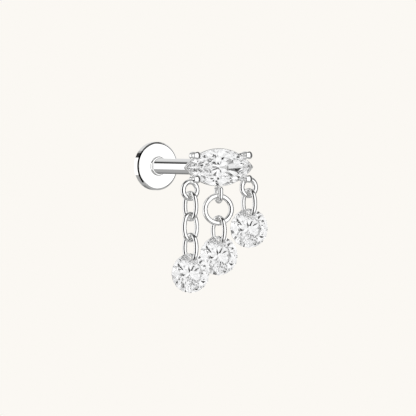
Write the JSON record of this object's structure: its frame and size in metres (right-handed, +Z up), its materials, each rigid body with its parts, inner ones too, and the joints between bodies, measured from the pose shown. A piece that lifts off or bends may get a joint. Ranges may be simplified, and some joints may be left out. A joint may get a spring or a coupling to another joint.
{
  "type": "tassel earring",
  "caption": "Flat-back stud earring: a marquise stone in a prong setting, with chain drops that each end in a drilled round brilliant.",
  "frame": {"origin": "middle of the post's bare length, on the post's axis, where it sits in the ear", "axes": "+Y along the post towards the flat disc, -Y towards the marquise, +Z up, the drops hang along -Z"},
  "size_m": [0.0082, 0.0099, 0.0114],
  "materials": {
    "polished_silver": "mirror polished",
    "clear_stone": "faceted and clear"
  },
  "bodies": {
    "back": {"flat_back": "polished_silver"},
    "front": {"setting": "polished_silver", "marquise_stone": "clear_stone", "left_link_1": "polished_silver", "left_link_2": "polished_silver", "left_link_3": "polished_silver", "left_drop_stone": "clear_stone", "centre_ring": "polished_silver", "centre_link": "polished_silver", "centre_drop_stone": "clear_stone", "right_link": "polished_silver", "right_drop_stone": "clear_stone"}
  },
  "joints": [
    {"name": "front_pull", "type": "slide", "parent": "back", "child": "front", "axis": [0, -1, 0], "range_m": [0, 0.004]}
  ]
}
